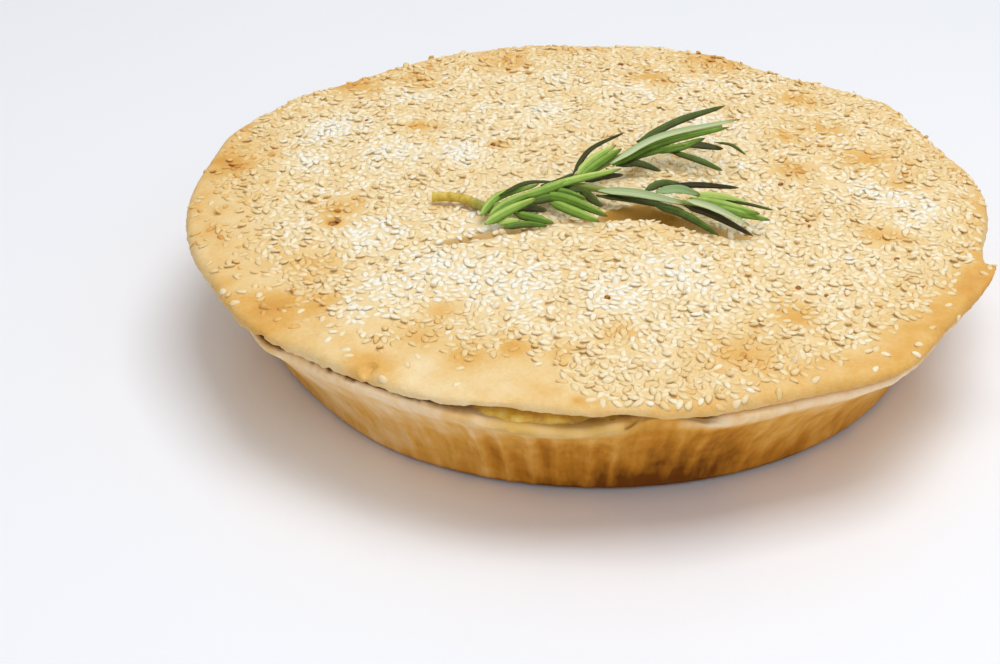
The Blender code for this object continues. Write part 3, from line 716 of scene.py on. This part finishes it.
def rosemary_leaf():
    """Fresh rosemary needle: waxy dark green above with a sunk midrib, felted grey-green below, with painted
    light and shade across the blade.
    """
    material, tree, shader = new_material(
        "rosemary needle, fresh", Roughness=0.55, IOR=1.45, Specular_IOR_Level=0.25)
    # painted light and shade: one half of the blade lighter, the other darker, dark lines at the midrib and
    # edges
    rib_light_and_shade = add(tree, "Attribute", {}, "Fac", attribute_name="rib_light_and_shade")
    shade = add(tree, "Math", {0: toned(tree, "tone", (2.2, 0.06)), 1: rib_light_and_shade}, operation="ADD")
    above = add(tree, "ValToRGB", {"Fac": shade}, stops=(
        (0.0, "#342d12"), (0.2, "#425018"), (0.45, "#5c7d24"), (0.75, "#86a945"), (1.0, "#b6c96a")))
    below = stained(tree, linear("#88a76c"), "tone", linear("#c6cfa2"))
    felt = stained(tree, below, "rib_light_and_shade", linear("#6f8a5a"), spread=(-0.2, 0.0, 0.6, 0.0))
    ribbed = stained(tree, above, "underside", felt)
    dry = stained(tree, ribbed, "dry", linear("#6f5a2a"))
    tree.links.new(dry, shader.inputs["Base Color"])
    roughen(tree, shader, 0.25, 0.1, speckle(tree, 0.5, 3))
    return material


def rosemary_bark():
    """Young rosemary wood, cut with a knife: ochre bark, mottled and rough, greener to the tip."""
    material, tree, shader = new_material("rosemary stem, cut", Roughness=0.55, IOR=1.45)
    bark = add(tree, "ValToRGB", {"Fac": speckle(tree, 1.3, 4)}, stops=(
        (0.3, "#b09231"), (0.6, "#d8bb4b"), (0.8, "#e2cf7a")))
    young = stained(tree, bark, "green", linear("#6f8a3c"))
    tree.links.new(young, shader.inputs["Base Color"])
    roughen(tree, shader, 0.5, 0.2, speckle(tree, 0.7, 4))
    return material


def plain_floor():
    """A plain glazed floor: nearly white, with a soft sheen that picks up the crust's colour."""
    material, tree, shader = new_material("glazed floor, pale", Roughness=0.3, IOR=1.7)
    clouded = {MIX_FACTOR: speckle(tree, 60, 1), MIX_A: linear("#eef1f7"), MIX_B: linear("#f1f2f7")}
    shade = add(tree, "Mix", clouded, MIX_RESULT, data_type="RGBA")
    tree.links.new(shade, shader.inputs["Base Color"])
    return material


# ---------------------------------------------------------------- case

def flute(azimuth):
    """The tin's flutes, narrow ridges and wide hollows, which the dough filled unevenly: from 0 to 1."""
    flat = polar(30, azimuth)
    turn = azimuth / 360 * FLUTES + 0.4 * rough(flat, 3.5, 3)
    filled = 0.3 + 0.7 * smooth(rough(polar(1, 360 * round(turn) / FLUTES), 0.11, 4), -0.35, 0.35)
    plain = FLUTES_FAINT + (1 - FLUTES_FAINT) * bump(azimuth, OPENING_AZIMUTH, FLUTES_FRONT)
    return (1 - abs(math.sin(math.pi * turn))) * filled * plain


def case_point(row, azimuth):
    """A point of the case: a row's radius and height with the flutes, the rim's reach, dip and raggedness."""
    radius, height, fluted, reach, dip = row
    ring = polar(radius, azimuth, height)
    radius += FLUTE_DEPTH * fluted * (flute(azimuth + 0.03 * height * rough(ring, 9, 6)) - 0.35)
    radius += reach * lobes(azimuth, RIM_REACHES)
    radius += lobes(azimuth, FOOT_REACHES) * (1 - smooth(height, 3, 20)) * smooth(radius, 75, 80)
    rim = smooth(height, 24, 27)
    radius += 0.28 * (1 - rim) * fluted * rough(ring, 8, 7) + rim * reach * (
        0.45 * rough(ring, 6, 8) + 0.2 * rough(ring, 1.8, 9))
    height -= dip * RIM_DIP * opening(azimuth)
    if rim and dip:
        height += reach * (0.25 * rough(ring, 5, 10) + 0.12 * rough(ring, 1.4, 11) - 0.05)
        rise = sum(by * smooth(azimuth, start, end) for start, end, by in BROKEN_RISES)
        height += dip * rise * (1 - smooth(azimuth, BROKEN_END - 3, BROKEN_END + 3))
    wall = polar(radius, azimuth, min(max(height, 0), CASE_TOP))
    return wall.lerp(settle(wall), smooth(height, 6, 26))


def make_case():
    """The pastry case: turned from foot to rim, its flutes faint but at the front, its inside left plain."""
    rows = line_through(CASE, CASE_SPACING) + [np.array(row, float) for row in CASE_INSIDE]
    case = lathe("fluted_case", CASE_STEPS, rows, case_point)

    def browned(point):
        """How brown the dough is: darkest at the foot and front, with painted shade at the foot's edge and
        painted light and shade on the flutes, pale at the rim.
        """
        azimuth = azimuth_of(point)
        foot = 1 - smooth(point.z, 0, 16)
        wall = WALL_TONE + lobes(azimuth, WALL_TONES) + FOOT_TONE * foot * (1 + bump(azimuth, *DARKER_FRONT))
        # painted contact shade at the foot's edge; paler higher up
        wall += FOOT_CONTACT_SHADE * (1 - smooth(point.z, 0.2, 2.2)) - 0.12 * smooth(point.z, 12, 24)
        # painted highlight on the flutes' ridges and shade in their hollows
        wall += FLUTE_LIGHT_AND_SHADE * (flute(azimuth) - 0.25)
        wall += 0.1 * rough(point, 14, 12) + 0.11 * rough(polar(60, azimuth, 0.25 * point.z), 4.5, 25)
        start = 24.3 + 1.2 * bump(azimuth, 305, 30) + 0.8 * rough(point, 6, 12)
        rim = smooth(point.z, start - 2, start + 2) * (1 - 0.75 * bump(azimuth, 277, 8))
        pale = RIM_TONE + lobes(azimuth, RIM_TONES) + 0.08 * rough(point, 9, 13)
        return wall * (1 - rim) + pale * rim

    def yolk(point):
        """How far filling has stained the rim in front of the opening."""
        rim = smooth(point.z, 22, 26)
        return rim * min(1, 1.5 * bump(azimuth_of(point), 264, 15)) * (0.8 + 0.3 * rough(point, 5, 29))

    def crack_and_seam_shade(point):
        """Painted shade: how dark it is in the crack, in the seam under the lid's edge, and under the lid by
        the crack.
        """
        azimuth = azimuth_of(point)
        along_crack = (azimuth - CRACK_AZIMUTH) / CRACK_RUN
        above = point.z - CRACK_HEIGHT - CRACK_RISE * along_crack if 0 < along_crack < 1 else 9
        crack = max(0.9 * math.exp(-(above / 0.45) ** 2), 0.35 * math.exp(-(above / 1.5) ** 2) * (above > 0))
        rim = RIM_RADIUS + lobes(azimuth, RIM_REACHES)
        inset = rim - point.xy.length + 0.3 * rough(point, 1.6, 28)
        # painted shadow that the lid's edge casts into the seam on the rim
        seam = smooth(inset, SEAM_START + lobes(azimuth, SEAM_STARTS), SEAM_END)
        seam *= smooth(point.z, 27.5, 28.5) * min(1, 2 * bump(azimuth, 232, 28))
        # painted shade under the lid to the right of the raised piece
        under = 0.7 * smooth(point.z, 27.2, 28.2) * min(1, 2 * bump(azimuth, 279, 7))
        return max(crack, seam, under)

    paint(case, "browned", browned)
    paint(case, "yolk", yolk)
    paint(case, "crack_and_seam_shade", crack_and_seam_shade)
    dress(case, case_dough(), "baked_shortcrust", "base_crust")


# ---------------------------------------------------------------- filling

def filling_point(row, azimuth):
    """A point of the filling: round, except where its lip is squeezed out at the front."""
    radius, height, lip = row
    ring = polar(radius, azimuth, height)
    reach = lobes(azimuth, LIP_REACHES)
    radius += lip * (reach + min(1, reach) * (0.9 * rough(ring, 4, 14) + 0.5 * rough(ring, 1.6, 15)))
    return settle(polar(radius, azimuth, height - FILLING_DROP - LIP_SAG * lip * opening(azimuth)))


def make_filling():
    """The filling, turned, with the lip that is squeezed out over the sunken rim."""
    rows = [np.array(row, float) for row in FILLING]
    filling = lathe("artichoke_filling", FILLING_STEPS, rows, filling_point)

    def seared_and_shaded(point):
        patches = 0.3 * smooth(rough(point, 6, 16), 0.0, 0.5)
        # browned patches and lump, and painted shade at the top under the lid's edge
        return patches + 0.4 * bump(azimuth_of(point), 272, 6) + 0.15 * smooth(point.z, 28.6, 30.2)

    paint(filling, "seared_and_shaded", seared_and_shaded)
    dress(filling, egg_filling(), "artichoke_filling", "filling")


# ---------------------------------------------------------------- lid

def lid_edge_point(row, azimuth):
    """A point of the lid's edge, which follows the swells above it, is lifted in places and is ragged."""
    inset, height, ragged = row
    reach = lid_radius(azimuth)
    ring = polar(reach, azimuth, height)
    torn = ragged * (0.6 + 0.8 * bump(azimuth, 228, 36))
    rag = torn * (0.4 * rough(ring, 2.6, 17) + 0.28 * rough(ring, 0.9, 18) - 0.2)
    shoulder = polar(reach - LID_SHOULDER_INSET, azimuth)
    swell = lid_height(shoulder.x, shoulder.y) - settle(shoulder + UP * LID_SHOULDER).z
    height += swell * smooth(height, 31.8, 34.1) * (inset < 5)
    height += lid_lift(azimuth) * (1 - smooth(inset, 3, 9)) * (1 - smooth(height, 32, 34.2))
    rise = torn * 0.45 * (0.1 + rough(ring, 1.8, 19)) * (height < 32.5)
    return settle(polar(reach - inset + rag, azimuth, max(height + rise, LID_SEAM)))


def make_lid():
    """The lid's dough: a square net rounded to a disc, then its edge extruded out, down and under."""
    clear_selection()
    bpy.ops.mesh.primitive_grid_add(x_subdivisions=LID_CELLS, y_subdivisions=LID_CELLS, size=2)
    lid = name_new("lid_dough")
    for vertex in lid.data.vertices:
        u, v, _ = vertex.co
        disc = Vector((u * math.sqrt(1 - v * v / 2), v * math.sqrt(1 - u * u / 2), 0))
        disc *= lid_radius(azimuth_of(disc)) - LID_SHOULDER_INSET
        vertex.co = Vector((disc.x, disc.y, lid_height(disc.x, disc.y))) * MM
    bpy.ops.object.mode_set(mode="EDIT")
    bpy.ops.mesh.select_mode(type="EDGE")
    select_boundary(lid)
    extrude_rows(lid, LID_EDGE, lid_edge_point)
    bpy.ops.mesh.edge_face_add()
    finish_mesh()

    def browned(point):
        """How golden the dough is: more so along the edge and in patches, less where it is floury, and less
        on the lower side of the front edge, as painted light.
        """
        azimuth = azimuth_of(point)
        inset = lid_radius(azimuth) - point.xy.length
        edge = 1 - smooth(inset, 2, bare_band(azimuth)[0] + 6)
        value = 0.14 + 0.22 * edge + 0.36 * spots(point, GOLDEN) - 0.16 * spots(point, PALE)
        value += 0.1 * rough(point, 12, 20) + 0.16 * edge * rough(point, 5, 27)
        # painted light: the lower side of the edge at the front is paler, against the shade that falls there
        value -= 0.08 * (1 - smooth(point.z, 31.3, 33.3)) * bump(azimuth, 245, 45)
        for centre, half_width, near, far, tone in EDGE_TONES:
            value += tone * bump(azimuth, centre, half_width) * (1 - smooth(inset, near, far))
        return value

    def scorch_and_shade(point):
        """How scorched the dough is round the vent and in the pits, on the lid's upper side alone: scorched
        dough with painted shade of the hollows and the sprig above.
        """
        if point.z <= LID_UPPER_SIDE:
            return 0
        pit = spots(point, [(x, y, 0.8 * radius) for x, y, radius in PITS])
        return min(1, vent_scorch_and_shade(point.x, point.y) + 0.9 * pit)

    paint(lid, "browned", browned)
    paint(lid, "scorch_and_shade", scorch_and_shade)
    dress(lid, lid_dough(), "sesame_shortcrust", "lid_crust")
    return lid


# ---------------------------------------------------------------- sesame

def model_seed():
    """One sesame seed: a ball drawn out to a flat drop, blunt at one end and pointed at the other."""
    clear_selection()
    bpy.ops.mesh.primitive_uv_sphere_add(segments=6, ring_count=5, radius=0.5, rotation=(0, math.pi / 2, 0))
    seed = name_new("seed_model")
    bpy.ops.object.transform_apply(location=True, rotation=True, scale=True)
    bpy.ops.object.mode_set(mode="EDIT")
    bpy.ops.transform.resize(value=SEED_SIZE)
    bpy.ops.object.mode_set(mode="OBJECT")
    for vertex in seed.data.vertices:
        taper = 1.12 - 0.62 * max(0, vertex.co.x / SEED_SIZE[0] + 0.5) ** 1.6
        vertex.co.y *= taper
        vertex.co.z *= taper ** 0.6
    return seed


def seed_chance(point):
    """How likely a seed is to lie at a place, from 0 to 1 where they are thick."""
    azimuth = azimuth_of(point)
    inset = lid_radius(azimuth) - point.xy.length
    if inset < EDGE_CLEARANCE + lobes(azimuth, SEED_INSETS):
        return 0.0
    band, strewn = bare_band(azimuth)
    ragged = (2.6 * rough(point, 5, 21) + 1.4 * rough(point, 2, 22)) * min(band / 4, 1)
    cover = strewn + (1 - strewn) * smooth(inset + ragged, band - 2.5, band + 2.5)
    bare = spots(point, BARE_SPOTS) + spots(point, [(x, y, 1.3 * r) for x, y, r in PITS])
    thin = 0.3 * spots(point, GOLDEN) + 0.12 * smooth(rough(point, 7, 23), 0.1, 0.6)
    # no seeds on the bare dough by the vent, which is browned and has painted shade
    scorched_and_shaded_vent = smooth(vent_scorch_and_shade(point.x, point.y), 0.35, 0.75)
    return max(0.0, cover * (1 - min(1, 1.6 * bare)) * (1 - thin) * (1 - scorched_and_shaded_vent))


def toast(point):
    """How toasted the seeds at a place are: more in golden patches and near the edge, less in pale ones."""
    out = point.xy.length
    value = 0.36 + 0.36 * spots(point, GOLDEN) - 0.38 * spots(point, PALE) + 0.16 * smooth(out, 74, 96)
    value += 0.22 * bump(azimuth_of(point), 188, 45) * smooth(out, 72, 92)
    return value + 0.14 * rough(point, 16, 24) + 0.16 * rough(point, 5, 26)


def drop(surface, x, y):
    """Where something dropped at a place lands on the lid, and which way the lid faces there."""
    where, facing, _, _ = surface.ray_cast(Vector((x, y, DROP_HEIGHT)) * MM, -UP)
    return where, facing


def seed_places(draw):
    """Points spread over the lid no closer than the seeds' spacing, by throwing darts at a net of cells."""
    cell = SEED_SPACING / math.sqrt(2)
    taken, places = {}, []
    for _ in range(SEED_THROWS):
        point = polar(SEED_FIELD * math.sqrt(draw.random()), 360 * draw.random())
        column, row = int(point.x // cell), int(point.y // cell)
        near = [taken.get((column + i, row + j)) for i in range(-2, 3) for j in range(-2, 3)]
        if any(other is not None and (other - point).length < SEED_SPACING for other in near):
            continue
        taken[column, row] = point
        places.append(point)
    return places


def scatter_seeds(surface):
    """Loose seeds on the lid's surface, one piece for each colour; each is a copy of one modelled seed."""
    draw = random.Random(SEED_DRAW)
    kinds = {name: [] for name, _ in SEED_KINDS}
    lone = [Vector((x, y, 0)) for x, y in LONE_SEEDS]
    for point in seed_places(draw) + lone:
        chance = seed_chance(point)
        kept = draw.random() < chance or point in lone
        upper = draw.random() < UPPER_SHARE * chance
        tilt = [math.radians(draw.gauss(0, spread)) for spread in (UPPER_TILTS if upper else LOWER_TILTS)]
        turn = draw.uniform(0, 2 * math.pi)
        size = draw.uniform(0.86, 1.1)
        sink = draw.uniform(0.0, 0.18)
        tone = draw.gauss(0, 0.11)
        where, facing = drop(surface, point.x, point.y)
        if not kept or where is None:
            continue
        lift = (UPPER_LIFT if upper else LOWER_LIFT) - sink
        toasted = toast(point) + tone - 0.2 * (point in lone)
        matrix = (
            Matrix.Translation(where + facing * lift * MM)
            @ UP.rotation_difference(facing).to_matrix().to_4x4()
            @ Euler((*tilt, turn)).to_matrix().to_4x4()
            @ Matrix.Diagonal((size, size * draw.uniform(0.92, 1.08), size, 1))
        )
        kind = next(name for name, limit in SEED_KINDS if toasted < limit)
        kinds[kind].append((matrix, min(max(toasted, 0), 1)))
    model = model_seed()
    shape = np.array([vertex.co for vertex in model.data.vertices])
    lengthwise = shape[:, 0] / SEED_SIZE[0] + 0.5
    material = hulled_sesame()
    for name, seeds in kinds.items():
        points = [
            shape @ np.array(matrix.to_3x3()).T * MM + np.array(matrix.translation) for matrix, _ in seeds
        ]
        marks = {
            "toasted": np.repeat([toasted for _, toasted in seeds], len(shape)).astype(np.float32),
            "along": np.tile(lengthwise, len(seeds)).astype(np.float32),
        }
        piece = new_piece(name, np.concatenate(points).tolist(), copied_faces(model.data, len(seeds)), marks)
        dress(piece, material, "sesame_shortcrust")
    bpy.data.objects.remove(model)


# ---------------------------------------------------------------- toasted crumbs

def scatter_crumbs(surface):
    """Crumbs of dough baked dark on the lid: a ball pulled out of round, copied at each place."""
    draw = random.Random(CRUMB_DRAW)
    crumbs = []
    for x, y, size in CRUMBS:
        where, _ = drop(surface, x, y)
        clear_selection()
        bpy.ops.mesh.primitive_ico_sphere_add(subdivisions=2, radius=size / 2 * MM, location=where)
        crumb = name_new("crumb")
        bpy.ops.object.transform_apply(location=True, rotation=True, scale=True)
        shift = Vector((draw.uniform(0, 9), draw.uniform(0, 9), 0))
        for vertex in crumb.data.vertices:
            away = vertex.co - where
            away *= 1 + 0.5 * noise.noise(vertex.co / (0.7 * MM) + shift)
            vertex.co = where + Vector((1.25 * away.x, away.y, 0.8 * away.z)) + UP * 0.25 * MM
        crumbs.append(crumb)
    clear_selection()
    for crumb in crumbs:
        crumb.select_set(True)
    bpy.ops.object.join()
    crumb = name_new("toasted_crumbs")
    bpy.ops.object.shade_smooth()
    dress(crumb, dark_crumb(), "sesame_shortcrust")


# ---------------------------------------------------------------- rosemary

def on_curve(knots, place):
    """A point on the smooth curve through knots, where place counts knots from the first."""
    number = min(int(place), len(knots) - 2)
    share = place - number
    start, end = knots[number], knots[number + 1]
    before = knots[number - 1] if number else start * 2 - end
    after = knots[number + 2] if number + 2 < len(knots) else end * 2 - start
    return 0.5 * (2 * start + (end - before) * share
                  + (2 * before - 5 * start + 4 * end - after) * share**2
                  + (3 * start - before - 3 * end + after) * share**3)


def model_needle():
    """One rosemary needle, 1 long and 1 wide: a blunt blade with a sunk midrib and its edges rolled under."""
    clear_selection()
    bpy.ops.mesh.primitive_circle_add(
        vertices=NEEDLE_SIDES, radius=0.5, fill_type="NGON", rotation=(0, math.pi / 2, 0))
    needle = name_new("needle_model")
    bpy.ops.object.transform_apply(location=False, rotation=True, scale=False)
    bpy.ops.object.mode_set(mode="EDIT")
    bpy.ops.mesh.select_mode(type="EDGE")
    select_boundary(needle)
    for _ in range(NEEDLE_ROWS):
        bpy.ops.mesh.extrude_edges_move(TRANSFORM_OT_translate={"value": (1 / NEEDLE_ROWS, 0, 0)})
    bpy.ops.mesh.edge_face_add()
    bpy.ops.mesh.select_all(action="SELECT")
    bpy.ops.mesh.normals_make_consistent(inside=False)
    bpy.ops.object.mode_set(mode="OBJECT")
    bpy.ops.object.shade_smooth()
    for vertex in needle.data.vertices:
        share, side, rise = vertex.co
        width = (0.3 + 0.7 * smooth(share, 0, 0.2)) * (1 - 0.5 * smooth(share, 0.5, 1.0))
        width *= math.sqrt(max(0.02, 1 - max(0, (share - 0.86) / 0.14) ** 2))
        groove = math.exp(-(side / 0.15) ** 2) * (0.4 if rise > 0 else -0.2)
        vertex.co = (share, side * width, (rise - groove - 1.6 * side * side) * width ** 0.6)
    return needle


def lay_needle(shape, knots, width, turn):
    """The needle's points, laid along a curve through three points and turned about its length."""
    points = []
    for x, y, z in shape:
        middle = on_curve(knots, 2 * x)
        ahead, behind = on_curve(knots, 2 * min(x + 0.02, 1)), on_curve(knots, 2 * max(x - 0.02, 0))
        heading = (ahead - behind).normalized()
        flat = heading.cross(UP).normalized()
        spin = Matrix.Rotation(math.radians(turn + NEEDLE_TWIST * (x - 0.5)), 3, heading)
        points.append(middle + spin @ (flat * (-y * width) + flat.cross(heading) * (z * NEEDLE_THICKNESS)))
    return points


def make_needles():
    """All the needles, copies of one modelled needle, with their tone, felt underside, painted light and
    shade across the blade, and dry tip.
    """
    model = model_needle()
    shape = [vertex.co.copy() for vertex in model.data.vertices]
    below = [vertex.normal.z < -0.35 for vertex in model.data.vertices]
    points = []
    marks = {"tone": [], "underside": [], "rib_light_and_shade": [], "dry": []}
    for *knots, width, turn, tone in NEEDLES:
        points += lay_needle(shape, [Vector(knot) for knot in knots], width, turn)
        for point, under in zip(shape, below):
            # painted light and shade: one half of each blade lighter and the other darker, with dark lines of
            # shade at the midrib and the rolled edges
            half = 0.22 * smooth(point.y, -0.1, 0.2) - 0.12 * smooth(-point.y, 0.1, 0.3)
            lines = 0.14 * (abs(point.y) < 0.05) + 0.24 * smooth(abs(point.y), 0.34, 0.5)
            marks["tone"].append(tone)
            marks["underside"].append(float(under))
            marks["rib_light_and_shade"].append((half - lines) * min(1, 2 * tone))
            marks["dry"].append(0.8 * smooth(point.x, 0.9, 1.0))
    faces = copied_faces(model.data, len(NEEDLES))
    needles = new_piece("rosemary_needles", [point * MM for point in points], faces, marks)
    bpy.data.objects.remove(model)
    dress(needles, rosemary_leaf(), "rosemary_leaf", "rosemary_sprig")


def make_stem():
    """The stem and its two branches: round twigs with a slight knob at each of their points."""
    stems = []
    for name, (start, end) in BRANCH_RADII.items():
        knots = [Vector(knot) for knot in BRANCHES[name]]
        count = BRANCH_STEPS * (len(knots) - 1)
        line = bpy.data.curves.new(name, "CURVE")
        line.dimensions = "3D"
        line.bevel_depth = MM
        line.bevel_resolution = 4
        line.use_fill_caps = True
        spline = line.splines.new("POLY")
        spline.points.add(count)
        for number, point in enumerate(spline.points):
            place = number * (len(knots) - 1) / count
            point.co = (*(on_curve(knots, place) * MM), 1)
            knob = KNOB_RISE * max(0, math.cos(2 * math.pi * place)) ** 4
            point.radius = start + (end - start) * number / count + knob
        twig = bpy.data.objects.new(name, line)
        bpy.context.collection.objects.link(twig)
        stems.append(twig)
    clear_selection()
    for twig in stems:
        twig.select_set(True)
    bpy.context.view_layer.objects.active = stems[0]
    bpy.ops.object.convert(target="MESH")
    bpy.ops.object.join()
    stem = name_new("rosemary_stem")
    bpy.ops.object.shade_smooth_by_angle(angle=math.radians(SHARP_TWIG_EDGE))
    paint(stem, "green", lambda point: 0.85 * smooth(point.x, -33, -24))
    dress(stem, rosemary_bark(), "rosemary_leaf", "rosemary_sprig")


# ---------------------------------------------------------------- studio

def add_light(name, place, size, power, colour):
    """A square soft box aimed at a point of the pie."""
    lamp = bpy.data.lights.new(name, "AREA")
    lamp.size = size * MM
    lamp.energy = power
    lamp.color = linear(colour)[:3]
    light = bpy.data.objects.new(name, lamp)
    light.location = Vector(place) * MM
    light.rotation_euler = (Vector(LIGHT_AIM) - Vector(place)).to_track_quat("-Z", "Y").to_euler()
    bpy.context.collection.objects.link(light)


def make_studio():
    """A plain pale floor, three soft boxes, a white room and the camera at the photograph's angle."""
    clear_selection()
    bpy.ops.mesh.primitive_plane_add(size=FLOOR_SIZE * MM)
    floor = name_new("floor")
    floor.data.materials.append(plain_floor())
    for light in LIGHTS:
        add_light(*light)
    world = bpy.data.worlds.new("room")
    bpy.context.scene.world = world
    world.use_nodes = True
    sky = world.node_tree.nodes["Background"]
    sky.inputs["Color"].default_value = linear(ROOM_COLOUR)
    sky.inputs["Strength"].default_value = ROOM_STRENGTH
    lens = bpy.data.cameras.new("camera")
    lens.lens = CAMERA_LENS
    camera = bpy.data.objects.new("camera", lens)
    camera.location = Vector(CAMERA_PLACE) * MM
    camera.rotation_euler = [math.radians(turn) for turn in CAMERA_TURN]
    bpy.context.collection.objects.link(camera)
    bpy.context.scene.camera = camera
    bpy.context.scene.view_settings.view_transform = "Standard"


make_case()
make_filling()
lid = make_lid()
surface = BVHTree.FromObject(lid, bpy.context.evaluated_depsgraph_get())
scatter_seeds(surface)
scatter_crumbs(surface)
make_stem()
make_needles()
make_studio()
